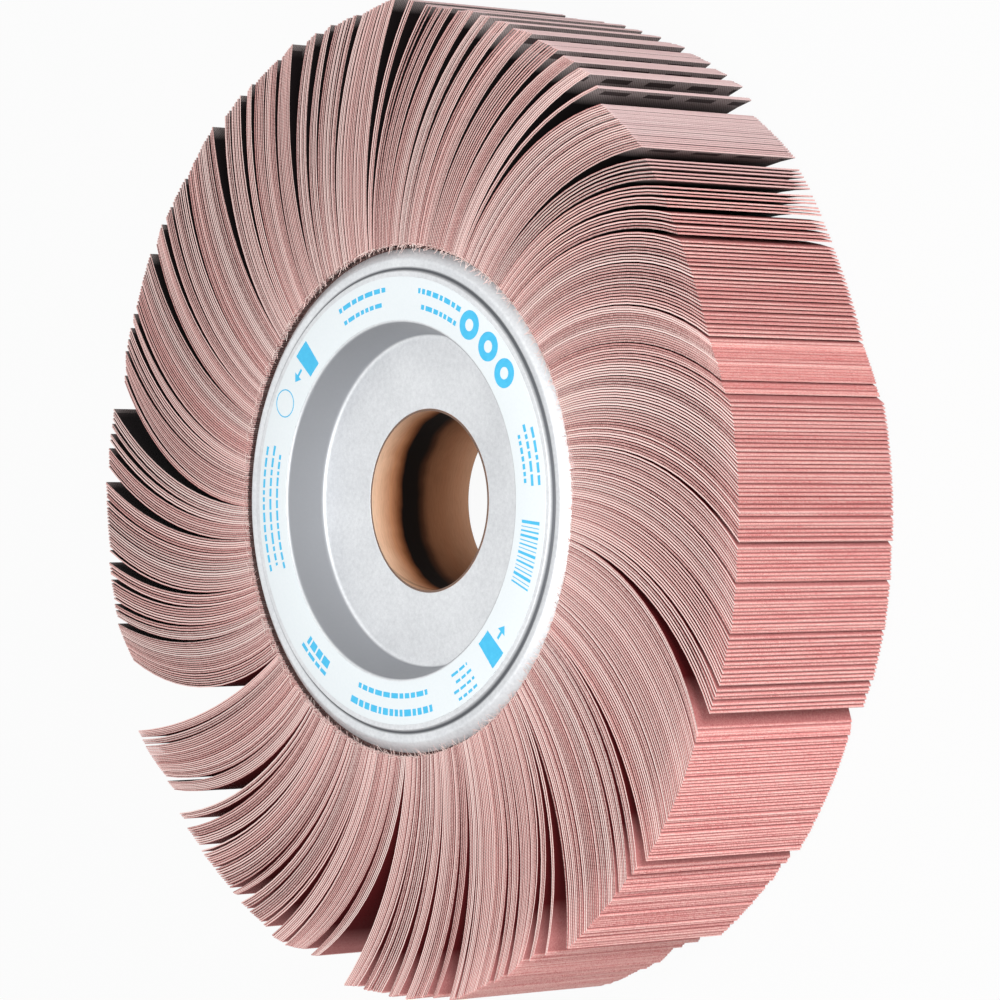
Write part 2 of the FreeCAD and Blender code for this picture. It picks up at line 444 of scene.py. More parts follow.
# %% The flap tree
def flap_tree():
    lengths = ("First root", "Root span", "First sweep", "Last sweep", "Rim radius",
               "Free length", "Tang length", "Shoulder gap", "Half width", "Tang half width",
               "Thickness", "Clumping", "Seed")
    inputs = [("Before", "Geometry"), ("Flaps", "Int")]
    inputs += [(title, "Float") for title in lengths] + [("Finish", "Material")]
    tree, graph, size = open_tree("flap_bundle", inputs, "Pack")

    box = graph.node("GeometryNodeMeshCube", {
        "Size": (1, 1, 1), "Vertices X": FLAP_ROWS, "Vertices Y": 2, "Vertices Z": FLAP_COLUMNS})
    solid, number = numbered_copies(graph, box, size["Flaps"], "flap")
    step, depth, across = graph.split(graph.node("GeometryNodeInputPosition"))
    solid = store(graph, solid, "layer", depth * 2 + (step > 0.49) * TIP_LAYER, "FACE")

    row = (step + 0.5) * (FLAP_ROWS - 1)
    in_tang = row < SHOULDER_ROWS - 0.5
    at_root = row < 0.5
    free_share = (row - SHOULDER_ROWS).at_least(0) / (FLAP_ROWS - 1 - SHOULDER_ROWS)
    chance = graph.chance(number + size["Seed"])
    length = size["Free length"] * (1 + (chance - 0.5) * LENGTH_SPREAD)
    along = size["Shoulder gap"] + (length - size["Shoulder gap"]) * free_share
    along = along - in_tang * TANG_STEP
    along = along - at_root * (size["Tang length"] + size["Shoulder gap"])
    half = size["Half width"] + in_tang * (size["Tang half width"] - size["Half width"])
    half = half - chance * WIDTH_SPREAD

    share = (number + 0.5) / size["Flaps"]
    last_lean = size["Last sweep"] * LEAN_PER_SWEEP
    tightest = size["Thickness"] * TIGHTEST / (last_lean.cos() * TIP_RADIUS)
    closing = size["Last sweep"] - size["First sweep"]
    closing = closing.at_most(size["Root span"] - tightest * size["Flaps"])
    sweep = size["First sweep"] + closing * share
    lean = sweep * LEAN_PER_SWEEP
    loss = lean.cos() * TIP_RADIUS + lean.sin() * TIP_DROP
    apart = (lean.cos() * TIP_RADIUS * size["Root span"] - loss * closing) / size["Flaps"]
    slack = ((apart - size["Thickness"]) / loss).at_least(0)
    pressed = size["Thickness"].at_most(apart * PRESSED - PRESSED_OFF)

    drift = graph.noise(graph.join(number / 20.0, size["Seed"], 0.0), 1.0)
    clump = number / CLUMP + drift * 0.8 + size["Seed"] * 0.37
    strength = graph.chance(clump.floor()) * size["Clumping"]
    wave = graph.noise(graph.join(number / 3.1, across * 0.8, size["Seed"]), 1.0) - 0.5
    push = (clump.fraction() - 0.5) * CLUMP * CLUMP_PUSH * strength
    push = push + ((number / PAIR).fraction() - 0.5) * PAIR * PAIR_PUSH
    push = push + (chance - 0.5) * (LONE_PUSH + size["Clumping"] * LONE_CLUMPED) + wave * 0.2
    stray = size["Root span"] * (chance - 0.5) * ROOT_SPREAD / size["Flaps"]
    root = size["First root"] + size["Root span"] * share + stray
    sweep = sweep + slack * push + stray
    sweep = sweep + (length - size["Free length"]) * lean.sin() / TIP_RADIUS

    turn = sweep * BEND_PER_SWEEP
    chord = length * (turn / 2).sin() / (turn / 2)
    lateral = size["Rim radius"] * sweep.sin()
    tip = size["Rim radius"] * sweep.cos() + (chord * chord - lateral * lateral).sqrt()
    start = (tip * sweep.sin()).angle_to(tip * sweep.cos() - size["Rim radius"]) - turn / 2
    arc_radius = length / turn
    now = start + turn * along.at_least(0) / length
    x = size["Rim radius"] + arc_radius * (now.sin() - start.sin()) + along.at_most(0)
    y = arc_radius * (now.cos() - start.cos())
    thickness = size["Thickness"] * ROOT_SWELL
    thickness = thickness + (pressed - thickness) * free_share
    x = x + depth * thickness * now.sin()
    y = y + depth * thickness * now.cos()
    z = across * 2 * half
    turned = graph.join(x * root.cos() - y * root.sin(), x * root.sin() + y * root.cos(), z)

    solid = store(graph, solid, "shade", chance)
    solid = store(graph, solid, "reach", along / length)
    tone = graph.noise(graph.join(number / 9.0, 0.0, size["Seed"]), 1.0, detail=1.0)
    solid = store(graph, solid, "tone", tone)
    spot = graph.join(along + number * CLOTH_STEP, z, depth * size["Thickness"])
    solid = store(graph, solid, "flap_place", spot, kind="FLOAT_VECTOR")
    solid = graph.node("GeometryNodeSetPosition", {"Geometry": solid, "Position": turned})
    both = tree.nodes.new("GeometryNodeJoinGeometry")
    for part in (solid, size["Before"]):
        tree.links.new(part.socket, both.inputs[0])
    close_tree(graph, Wire(graph, both.outputs[0]), size["Finish"], "Pack")
    return tree


bundle_tree = flap_tree()
print("nodes in the flap tree:", len(bundle_tree.nodes))

# %% [markdown]
# ## Where the bundles part
#
# Each row gives a pack, and in it the bundles that it falls into. A bundle has the angle where its
# roots begin, and how far its first and its last tip trail behind their roots. It ends where the
# next one begins. Where a bundle's last tip trails further than the next one's first, a gap opens.
# A stretch at the upper right is worn a little shorter, and round the tread that the camera sees
# the flaps lie evenly, with little clumping.

# %% The packs
PACKS = (
    ((11.5, 16.1, 17.2),),
    ((28.3, 16.5, 17.2), (30.3, 17.0, 18.7), (37.2, 18.5, 17.9)),
    ((48.8, 17.6, 17.3), (51.8, 17.0, 16.4), (54.5, 16.1, 15.6)),
    ((57.5, 14.5, 16.4),),
    ((68.2, 15.2, 15.4), (69.2, 14.0, 15.0), (72.3, 14.2, 15.2), (75.6, 14.4, 15.2)),
    ((80.3, 14.3, 15.5), (85.0, 14.6, 15.5), (88.3, 14.6, 15.3)),
    ((91.0, 14.4, 15.2), (95.0, 14.5, 14.9)),
    ((98.4, 14.6, 12.5),),
    ((101.4, 10.6, 13.9), (111.0, 13.2, 13.8), (116.0, 13.0, 14.2), (118.5, 12.9, 14.0)),
    ((121.7, 11.4, 13.4), (126.2, 12.9, 13.8), (132.3, 13.0, 14.0), (134.5, 12.9, 13.6)),
    ((139.5, 11.4, 12.4), (141.5, 12.1, 14.2), (150.0, 13.6, 13.8), (156.5, 13.0, 14.6)),
    ((160.8, 13.1, 14.9),),
    ((170.0, 14.2, 15.2), (172.2, 14.5, 14.9), (175.2, 14.5, 17.1)),
    ((180.2, 16.4, 16.9),),
    ((181.5, 13.2, 13.4), (184.3, 12.8, 13.0), (185.7, 12.4, 13.2)),
    ((189.0, 11.6, 13.3),),
    ((199.7, 12.3, 13.0), (206.5, 12.8, 13.6)),
    ((208.3, 12.9, 16.0), (214.8, 15.9, 16.6), (216.5, 16.6, 17.7)),
    ((218.6, 9.4, 10.4), (220.6, 10.1, 10.9), (222.2, 10.7, 15.4), (232.3, 14.9, 16.4)),
    ((235.5, 13.5, 14.4), (237.6, 13.4, 14.4), (242.0, 13.8, 14.6), (250.0, 14.0, 15.0)),
    ((252.0, 14.0, 14.6), (258.3, 13.3, 14.2), (261.5, 13.8, 17.3)),
    ((268.7, 16.0, 17.5),),
    ((271.7, 12.2, 13.8), (276.0, 13.0, 13.8), (280.5, 12.8, 14.0), (283.7, 13.0, 14.2),
     (289.0, 13.3, 14.3)),
    ((291.0, 12.4, 13.2), (292.8, 12.8, 15.4), (301.5, 14.8, 15.8), (304.5, 15.2, 17.9)),
    ((310.2, 16.6, 17.4), (312.0, 15.6, 16.1)),
    ((313.1, 13.2, 15.2),),
    ((325.8, 14.8, 15.6), (328.8, 14.9, 15.3)),
    ((330.6, 13.9, 17.0),),
    ((349.0, 16.8, 18.3),),
    ((351.8, 15.8, 15.4), (354.6, 15.1, 15.2), (360.3, 15.0, 15.8), (366.5, 15.6, 16.5)),
)
print("packs:", len(PACKS))

# %% A pack of flaps
FLAPS_ROUND = 750
FREE_LENGTH = 64.6 * MM
WORN_FROM, WORN_TO, WORN_BY = 25, 66, 1.6 * MM
CALM_FROM, CALM_TO, CALM_CLUMPING = 310, 65, 0.1
TANG_LENGTH = 4.9 * MM
SHOULDER_GAP = 0.5 * MM
HALF_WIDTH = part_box("flap_pack_01")[1].z
TANG_HALF_WIDTH = FLAT_Z - RIM_DEPTH - 0.1 * MM
CLOTH_THICKNESS = 0.38 * MM
SHARP_CORNER = math.radians(30)


def flap_pack(number, bundles, end):
    """The mesh of one pack: an empty object with the tree once for each bundle, made plain."""
    holder = empty_holder()
    stops = [bundle[0] for bundle in bundles[1:]] + [end]
    flaps = 0
    for (begin, first_sweep, last_sweep), stop in zip(bundles, stops):
        count = round(stop / 360 * FLAPS_ROUND) - round(begin / 360 * FLAPS_ROUND)
        worn = WORN_BY if WORN_FROM < begin < WORN_TO else 0
        modifier = holder.modifiers.new("bundle", "NODES")
        modifier.node_group = bundle_tree
        set_inputs(modifier, {
            "Flaps": count, "First root": math.radians(begin),
            "Root span": math.radians(stop - begin), "First sweep": math.radians(first_sweep),
            "Last sweep": math.radians(last_sweep), "Rim radius": RIM_RADIUS,
            "Free length": FREE_LENGTH - worn, "Tang length": TANG_LENGTH,
            "Shoulder gap": SHOULDER_GAP, "Half width": HALF_WIDTH,
            "Tang half width": TANG_HALF_WIDTH, "Thickness": CLOTH_THICKNESS,
            "Clumping": 1.0 if CALM_TO < begin < CALM_FROM else CALM_CLUMPING,
            "Seed": begin, "Finish": cloth_finish})
        flaps += count
    mesh = plain_mesh(holder, "flap_pack_%02d" % number)
    mesh.shade_smooth()
    mesh.set_sharp_from_angle(angle=SHARP_CORNER)
    return mesh, flaps


print("a flap is", round((TANG_LENGTH + FREE_LENGTH) / MM, 1), "mm long")

# %% All the packs
pack_ends = [bundles[0][0] for bundles in PACKS[1:]] + [PACKS[0][0][0] + 360]
flap_count = 0
for number, (bundles, end) in enumerate(zip(PACKS, pack_ends), start=1):
    mesh, flaps = flap_pack(number, bundles, end)
    piece("flaps_%02d" % number, mesh, "abrasive_cloth", "flap_pack_%02d" % number)
    flap_count += flaps
print("flaps:", flap_count, "in", len(PACKS), "packs of", sum(map(len, PACKS)), "bundles")

# %% [markdown]
# ## Frayed threads
#
# The cloth is cut, so short threads stand out of the shoulders and cross the narrow gap round the
# flange's rim. A second tree scatters thin three-sided threads round each rim, each with its own
# length and turn, bent a little upwards, but never past the floor that the wheel lies on.

# %% Threads round the rims
THREADS = 1400
THREAD_RISE = 260             # bend of a thread, in metres of rise per square metre of reach
THREAD_TOP = 0.6 * MM         # a thread ends this far over the highest root


def thread_tree():
    lengths = ("Radius", "Lowest", "Highest", "Length", "Thickness", "Side", "Seed")
    inputs = [("Threads", "Int")] + [(title, "Float") for title in lengths]
    inputs += [("Finish", "Material")]
    tree, graph, size = open_tree("rim_threads", inputs, "Threads")

    rod = graph.node("GeometryNodeMeshCylinder", {
        "Vertices": 3, "Side Segments": 3, "Radius": 0.5, "Depth": 1.0})
    solid, number = numbered_copies(graph, rod, size["Threads"], "thread")
    across, up, run = graph.split(graph.node("GeometryNodeInputPosition"))

    def chance(shift):
        return graph.chance(number + size["Seed"] + shift)

    angle = (number + chance(0.1) * 9) / size["Threads"] * math.tau
    heading = angle + math.pi + (chance(0.2) - 0.5) * 3.4
    reach = (run + 0.5) * size["Length"] * (chance(0.3) * 0.75 + 0.25)
    height = size["Lowest"] + (size["Highest"] - size["Lowest"]) * chance(0.4)
    height = height + reach * reach * THREAD_RISE * chance(0.5)
    height = height.at_most(size["Highest"] + THREAD_TOP) + up * size["Thickness"]
    x = size["Radius"] * angle.cos() + reach * heading.cos()
    y = size["Radius"] * angle.sin() + reach * heading.sin()
    x = x - across * size["Thickness"] * heading.sin()
    y = y + across * size["Thickness"] * heading.cos()
    solid = store(graph, solid, "reach", 1.0)
    solid = store(graph, solid, "shade", chance(0.6) * 0.2 + 0.8)
    solid = store(graph, solid, "tone", chance(0.7))
    solid = graph.node("GeometryNodeSetPosition", {
        "Geometry": solid, "Position": graph.join(x, y, height * size["Side"])})
    close_tree(graph, solid, size["Finish"], "Threads")
    return tree


fray_tree = thread_tree()
print("nodes in the thread tree:", len(fray_tree.nodes))

# %% Front and rear threads
for name, side in (("front_threads", 1.0), ("rear_threads", -1.0)):
    holder = empty_holder()
    modifier = holder.modifiers.new("threads", "NODES")
    modifier.node_group = fray_tree
    set_inputs(modifier, {
        "Threads": THREADS, "Radius": RIM_RADIUS + 0.9 * MM, "Lowest": HALF_WIDTH - 0.9 * MM,
        "Highest": HALF_WIDTH + 0.2 * MM, "Length": 2.6 * MM, "Thickness": 0.12 * MM,
        "Side": side, "Seed": 5.0 + side, "Finish": cloth_finish})
    mesh = plain_mesh(holder, name)
    if side < 0:
        mesh.flip_normals()
    piece(name, mesh, "abrasive_cloth")
    print(name, "faces:", len(mesh.polygons))

# %% [markdown]
# ## Turned sections
#
# The flanges, the paper tube and the label are rings about the axis. Each is a closed half
# section, whose corners get a small arc, turned about the axis in mesh code. The arcs matter:
# a bend in sheet metal catches the light as a soft line, and a sharp corner looks like plastic.

# %% Turning a section
ROUND_STEPS = 6
AROUND = 240                  # straight sides round the axis
SHARP_BEND = math.radians(40)


def rounded(corners):
    """Points of a closed section whose corners (radius, z, fillet) are cut by arcs."""
    points = []
    for place, (r, z, fillet) in enumerate(corners):
        here = Vector((r, z))
        if fillet == 0:
            points.append(here)
            continue
        before = Vector(corners[place - 1][:2]) - here
        after = Vector(corners[(place + 1) % len(corners)][:2]) - here
        half_angle = before.angle(after) / 2
        nearest = min(before.length, after.length)
        reach = min(fillet / math.tan(half_angle), nearest * 0.48)
        first = here + before.normalized() * reach
        last = here + after.normalized() * reach
        for step in range(ROUND_STEPS + 1):
            share = step / ROUND_STEPS
            points.append(first.lerp(here, share).lerp(here.lerp(last, share), share))
    return points


def turned(name, corners):
    """A ring about the axis from a closed half section."""
    section = rounded(corners)
    shape = bmesh.new()
    rings = []
    for side in range(AROUND):
        angle = math.tau * side / AROUND
        ring = [shape.verts.new((p.x * math.cos(angle), p.x * math.sin(angle), p.y))
                for p in section]
        rings.append(ring)
    for side in range(AROUND):
        ring, following = rings[side], rings[(side + 1) % AROUND]
        for place in range(len(section)):
            nearby = (place + 1) % len(section)
            shape.faces.new((ring[place], following[place], following[nearby], ring[nearby]))
    bmesh.ops.recalc_face_normals(shape, faces=shape.faces)
    mesh = bpy.data.meshes.new(name)
    shape.to_mesh(mesh)
    shape.free()
    mesh.shade_smooth()
    mesh.set_sharp_from_angle(angle=SHARP_BEND)
    return mesh


print("corners are rounded in", ROUND_STEPS, "steps")

# %% [markdown]
# ## The flanges
#
# The flange is pressed from one disc of galvanised sheet. From the bore outwards it has a flat
# floor for the clamp washer, a steep wall up to the flat that carries the label, a narrow groove,
# a bead and a rim that turns down on the flaps. The zinc gives it a pale satin grey with a faint
# speckle, and turning marks too fine to see singly.

# %% Sizes of a flange
SHEET = 1.5 * MM
WELL_FLOOR_RADIUS = 41.2 * MM
WELL_MOUTH_RADIUS = 43.8 * MM
FLAT_OUTER_RADIUS = 56.3 * MM
GROOVE_RADIUS = 57.1 * MM
GROOVE_DEPTH = 1.1 * MM
BEAD_RADIUS = 59.3 * MM
BEAD_DEPTH = 0.7 * MM
FLOOR_Z = flange_low.z + SHEET
SEAT_Z = FLAT_Z - RIM_DEPTH
print("well", round((FLAT_Z - FLOOR_Z) / MM, 2), "mm deep")

# %% Galvanised steel
STEEL_LIGHT = srgb(218, 220, 222)
STEEL_DARK = srgb(193, 195, 198)
STEEL_SHADE = srgb(150, 152, 156)
GROOVE_SHADE = srgb(86, 88, 92)
WALL_MIDDLE = (WELL_FLOOR_RADIUS + WELL_MOUTH_RADIUS) / 2
WALL_HALF = (WELL_MOUTH_RADIUS - WELL_FLOOR_RADIUS) / 2
WALL_SOFT = 0.4 * MM          # the wall's shade runs out over this width
GROOVE_MIDDLE = GROOVE_RADIUS - 0.1 * MM
GROOVE_HALF = 0.7 * MM


def galvanised_steel():
    material, graph, shader = new_finish("galvanised_steel")
    place = graph.node("ShaderNodeTexCoord", out="Object")
    speckle = graph.noise(place, 1100.0, detail=3.0, roughness=0.7)
    cloud = graph.noise(place, 55.0, detail=3.0)
    colour = graph.mix(speckle * 1.6 - 0.3 + (cloud - 0.5), STEEL_DARK, STEEL_LIGHT)
    x, y, z = graph.split(place)
    radius = (x * x + y * y).sqrt()
    outside = (radius - WALL_MIDDLE).size() - WALL_HALF
    wall = 1 - outside.at_least(0).at_most(WALL_SOFT) / WALL_SOFT
    groove = (1 - (radius - GROOVE_MIDDLE).size() / GROOVE_HALF).at_least(0)
    colour = graph.mix(wall, colour, STEEL_SHADE)
    colour = graph.mix(groove * 1.3, colour, GROOVE_SHADE)
    graph.feed(shader.inputs["Base Color"], colour)
    graph.feed(shader.inputs["Roughness"], 0.46 + speckle * 0.14)
    shader.inputs["Metallic"].default_value = 0.6
    feed_bump(graph, shader, speckle, 0.3, 0.03 * MM)
    return material


steel_finish = galvanised_steel()
print("finish:", steel_finish.name)

# %% The flange section
# Corners of the front flange's half section, with the size of each bend.
front_corners = [
    (TUBE_RADIUS, FLOOR_Z, 0.25 * MM),
    (WELL_FLOOR_RADIUS, FLOOR_Z, 1.6 * MM),
    (WELL_MOUTH_RADIUS, FLAT_Z, 1.0 * MM),
    (FLAT_OUTER_RADIUS, FLAT_Z, 0.2 * MM),
    (GROOVE_RADIUS, FLAT_Z - GROOVE_DEPTH, 0.25 * MM),
    (BEAD_RADIUS, FLAT_Z - BEAD_DEPTH, 1.2 * MM),
    (RIM_RADIUS, SEAT_Z, 0.3 * MM),
    (RIM_RADIUS - SHEET, SEAT_Z, 0.2 * MM),
    (FLAT_OUTER_RADIUS, FLAT_Z - SHEET, 0),
    (WELL_MOUTH_RADIUS + SHEET, FLAT_Z - SHEET, 1.0 * MM),
    (WELL_FLOOR_RADIUS + SHEET, FLOOR_Z - SHEET, 0.6 * MM),
    (TUBE_RADIUS, FLOOR_Z - SHEET, 0.1 * MM),
]
rear_corners = [(r, -z, fillet) for r, z, fillet in front_corners]
for name, corners in (("front_flange", front_corners), ("rear_flange", rear_corners)):
    flange = piece(name + "_sheet", turned(name, corners), "galvanised_steel", name)
    flange.data.materials.append(steel_finish)
    print(name, "faces:", len(flange.data.polygons))

# %% [markdown]
# ## The bore
#
# A tube of wound brown paper lines the hole and runs through both flanges. Its inside shows spiral
# seams where the strips meet and fine fibres along the winding. A painted shadow darkens a band in
# the middle, and painted light makes the paper paler towards both ends. A row of stops along the
# axis gives the paper's brown with this painted light and shade.

# %% Wound paper
TUBE_LENGTH = tube_high.z - tube_low.z
# the paper's brown with painted light towards both ends and a painted shadow band in the middle
PAPER_LIGHT_AND_SHADE_STOPS = (               # millimetres along the axis, and the paper's colour there
    (-16.0, srgb(196, 150, 120)), (-12.0, srgb(176, 128, 98)), (-7.0, srgb(146, 100, 72)),
    (-2.5, srgb(118, 78, 54)), (-0.4, srgb(62, 36, 22)), (1.4, srgb(10, 5, 3)),
    (6.2, srgb(8, 4, 3)), (7.8, srgb(124, 76, 48)), (10.0, srgb(188, 132, 96)),
    (14.0, srgb(236, 192, 160)), (16.0, srgb(240, 202, 172)))
PAPER_SEAM = srgb(34, 20, 12)
PAPER_END = srgb(112, 92, 82)
PAPER_END_Z = tube_high.z - 0.05 * MM
TURNS_PER_METRE = 22.0        # of the winding
SEAM_SHARE = 0.015            # half a seam's width, as a share of one turn
# the painted shadow's edges lean across the bore and waver
SHADOW_SLANT, SHADOW_RAGGED = 0.12, 2.5 * MM  # how the stops lean across the bore and waver


def wound_paper():
    material, graph, shader = new_finish("wound_paper")
    place = graph.node("ShaderNodeTexCoord", out="Object")
    x, y, z = graph.split(place)
    around = y.angle_to(x) * BORE_RADIUS
    winding = (z * TURNS_PER_METRE + around / (math.tau * BORE_RADIUS)).fraction()
    seam = (winding - 0.5).size() > 0.5 - SEAM_SHARE
    fibre = graph.noise(graph.join(around * 350.0, z * 2600.0, 0.0), 1.0, detail=3.0)
    cloud = graph.noise(place, 120.0, detail=2.0)
    # where a point lies in the painted light and shadow along the bore
    height = z - (x + BORE_RADIUS) * SHADOW_SLANT + (cloud - 0.5) * SHADOW_RAGGED
    height = height / TUBE_LENGTH + 0.5
    stops = [(level * MM / TUBE_LENGTH + 0.5, colour) for level, colour in PAPER_LIGHT_AND_SHADE_STOPS]
    colour = graph.node("ShaderNodeValToRGB", {0: height}, stops=stops)
    colour = graph.mix((fibre - 0.4) * 0.4 + seam * 0.3, colour, PAPER_SEAM)
    colour = graph.mix(z.size() > PAPER_END_Z, colour, PAPER_END)
    graph.feed(shader.inputs["Base Color"], colour)
    graph.feed(shader.inputs["Roughness"], 0.6 + fibre * 0.25)
    shader.inputs["Specular IOR Level"].default_value = 0.08
    feed_bump(graph, shader, fibre * 0.4 - seam * 0.8, 0.4, 0.08 * MM)
    return material


paper_finish = wound_paper()
tube_corners = [
    (BORE_RADIUS, tube_low.z, 0), (TUBE_RADIUS, tube_low.z, 0),
    (TUBE_RADIUS, tube_high.z, 0), (BORE_RADIUS, tube_high.z, 0)]
tube = piece("bore_tube", turned("bore_tube", tube_corners), "bore_paper", "core_tube")
tube.data.materials.append(paper_finish)
print("tube length", round(TUBE_LENGTH / MM, 1), "mm")

# %% [markdown]
# ## The resin
#
# The cast resin between the flanges is hidden once the wheel is whole, so its solid stays as it
# is and only takes a finish, a dull amber with paler clouds.

# %% Resin
def cast_resin():
    material, graph, shader = new_finish("cast_resin")
    place = graph.node("ShaderNodeTexCoord", out="Object")
    cloud = graph.noise(place, 80.0, detail=3.0)
    colour = graph.mix(cloud, srgb(150, 112, 66), srgb(196, 156, 98))
    graph.feed(shader.inputs["Base Color"], colour)
    graph.feed(shader.inputs["Roughness"], 0.35 + cloud * 0.3)
    return material


resin = frame["nodes"]["resin_core"]
resin.data.materials.clear()
resin.data.materials.append(cast_resin())
print("resin keeps its solid")

# %% [markdown]
# ## The label
#
# A ring of white coated paper lies on the front flange. The wheel's own print is left out. In
# its place are plain shapes of a like size and colour: two bars with an arrow for the turning
# direction, three broad rings, a thin ring, a row of stripes and rows of dashes.

# %% Label paper
def plain_finish(name, light, dark, roughness, scale):
    """A finish of one colour that varies a little."""
    material, graph, shader = new_finish(name)
    place = graph.node("ShaderNodeTexCoord", out="Object")
    cloud = graph.noise(place, scale, detail=3.0)
    graph.feed(shader.inputs["Base Color"], graph.mix(cloud, dark, light))
    graph.feed(shader.inputs["Roughness"], roughness + (cloud - 0.5) * 0.1)
    feed_bump(graph, shader, cloud, 0.15, 0.02 * MM)
    return material


PAPER_Z = label_high.z - 0.03 * MM
LABEL_INNER = 44.4 * MM
LABEL_OUTER = label_high.x
label_finish = plain_finish("label_paper", srgb(214, 219, 221), srgb(206, 213, 216), 0.45, 1500.0)
label_corners = [
    (LABEL_INNER, label_low.z, 0), (LABEL_OUTER, label_low.z, 0),
    (LABEL_OUTER, PAPER_Z, 0.04 * MM), (LABEL_INNER, PAPER_Z, 0.04 * MM)]
paper = piece("label_ring", turned("label_ring", label_corners), "label_paper", "front_label")
paper.data.materials.append(label_finish)
print("label radii", round(LABEL_INNER / MM, 1), round(LABEL_OUTER / MM, 1), "mm")

# %% Sizes of the printed shapes
# Radii here are millimetres and angles are degrees.
INK_TOP = label_high.z - 0.005 * MM
DASH_SHORTEST, DASH_LONGEST, DASH_SPACE = 1.1, 3.4, 0.7
STRIPE_SPACE = 0.8
STRIPES = (0.5, 0.25, 0.9, 0.35, 0.25, 0.6, 0.3, 0.8, 0.25, 0.45, 0.3, 0.7, 0.5, 0.25, 0.9)
DASH_ROWS = (                 # radius, height, first and last angle
    (52.0, 1.3, 62.5, 81.0), (48.2, 1.2, 62.5, 79.0), (52.2, 1.2, 95.0, 116.0),
    (48.6, 1.1, 97.0, 115.0), (53.2, 0.8, 165.0, 200.0), (50.5, 0.8, 164.0, 199.0),
    (47.8, 0.8, 166.0, 201.0), (51.8, 1.0, 224.0, 238.0), (49.2, 2.2, 225.0, 237.0),
    (52.2, 1.7, 250.0, 285.0), (48.0, 1.3, 252.0, 284.0), (53.6, 0.7, 296.0, 304.5),
    (51.5, 0.7, 295.0, 304.5), (49.4, 0.7, 297.0, 304.5), (47.3, 0.7, 296.0, 304.0),
    (53.0, 0.9, 4.0, 20.0), (50.5, 0.9, 4.0, 21.0), (48.0, 0.9, 5.0, 19.0))
print("rows of dashes:", len(DASH_ROWS))

# %% Patches of ink
def slab(shape, outline):
    """A thin flat patch of ink with this outline, given counter-clockwise in plan."""
    top = [shape.verts.new((x, y, INK_TOP)) for x, y in outline]
    under = [shape.verts.new((x, y, PAPER_Z)) for x, y in outline]
    shape.faces.new(top)
    shape.faces.new(under[::-1])
    for place in range(len(outline)):
        nearby = (place + 1) % len(outline)
        shape.faces.new((under[place], under[nearby], top[nearby], top[place]))


def on_label(radius, angle):
    """A point of the label in plan."""
    turn = math.radians(angle)
    return (radius * MM * math.cos(turn), radius * MM * math.sin(turn))


def arc_bar(shape, inner, outer, begin, end):
    """A bar that follows the ring between two radii and two angles."""
    steps = max(1, round((end - begin) / 2))
    turns = [begin + (end - begin) * step / steps for step in range(steps + 1)]
    lower = [on_label(inner, turn) for turn in turns]
    upper = [on_label(outer, turn) for turn in turns]
    slab(shape, lower[::-1] + upper)


print("ink is", round((INK_TOP - PAPER_Z) / MM, 3), "mm thick")

# %% Marks on the label
prints = random.Random(7)


def dashes(shape, radius, height, begin, end):
    """A row of short dashes of uneven length between two angles."""
    angle = begin
    while angle < end - 0.6:
        length = prints.uniform(DASH_SHORTEST, DASH_LONGEST)
        arc_bar(shape, radius - height / 2, radius + height / 2, angle, min(angle + length, end))
        angle += length + DASH_SPACE


def ring_of_ink(shape, radius, angle, outer, inner):
    """A ring, in quarters that touch only at their ends."""
    x, y = on_label(radius, angle)
    for side in range(4):
        turns = [math.tau * (side + step / 10) / 4 for step in range(11)]
        outside = [(x + outer * MM * math.cos(t), y + outer * MM * math.sin(t)) for t in turns]
        inside = [(x + inner * MM * math.cos(t), y + inner * MM * math.sin(t)) for t in turns]
        slab(shape, outside + inside[::-1])


def arrow(shape, radius, angle, along):
    """A small arrow beside a bar, with its head the way it points round the label."""
    head = [on_label(radius, angle + 2.2 * along), on_label(radius - 1.5, angle),
            on_label(radius + 1.5, angle)]
    slab(shape, head)
    shaft = sorted((angle, angle - 2.4 * along))
    arc_bar(shape, radius - 0.35, radius + 0.35, shaft[0], shaft[1])


print("marks: dashes, rings and arrows")

# %% The printed shapes
def ink_mesh():
    """All the printed shapes as one mesh."""
    shape = bmesh.new()
    for angle in (135.0, 315.0):
        arc_bar(shape, 46.2, 54.0, angle - 3.2, angle + 2.6)
        arrow(shape, 50.2, angle + 6.2, 1)
    for angle in (37.2, 47.2, 57.2):
        ring_of_ink(shape, 50.4, angle, 3.6, 1.5)
    ring_of_ink(shape, 50.8, 151.0, 3.6, 3.3)
    stripe = 336.0
    for width in STRIPES:
        arc_bar(shape, 46.8, 53.2, stripe, stripe + width)
        stripe += width + STRIPE_SPACE
    for radius, height, begin, end in DASH_ROWS:
        dashes(shape, radius, height, begin, end)
    bmesh.ops.recalc_face_normals(shape, faces=shape.faces)
    mesh = bpy.data.meshes.new("label_ink")
    shape.to_mesh(mesh)
    shape.free()
    return mesh


ink = piece("label_ink", ink_mesh(), "label_paper")
ink.data.materials.append(plain_finish("label_ink", srgb(72, 182, 220), srgb(46, 160, 204), 0.4,
                                       900.0))
print("printed shapes:", len(ink.data.polygons), "faces")

# %% [markdown]
# ## Stage, light and camera
#
# The wheel lies on its rear flange. A soft light stands between its axis and the camera, so that
# the far wall of the well stays in shade, and a second one lights the tread from the side. The
# floor and the sky are white to the camera and to reflections, and the floor keeps a faint
# shadow. The camera is rolled so that the wheel stands upright in the picture.

# %% Floor and world
WHITE = (1, 1, 1, 1)
FLOOR_GREY = (0.4, 0.4, 0.4, 1)
FLOOR_GLOW = 0.95             # the rest of what the camera sees of the floor takes the shadow
FLOOR_HALF = 3
SKY_LIGHT = 0.22


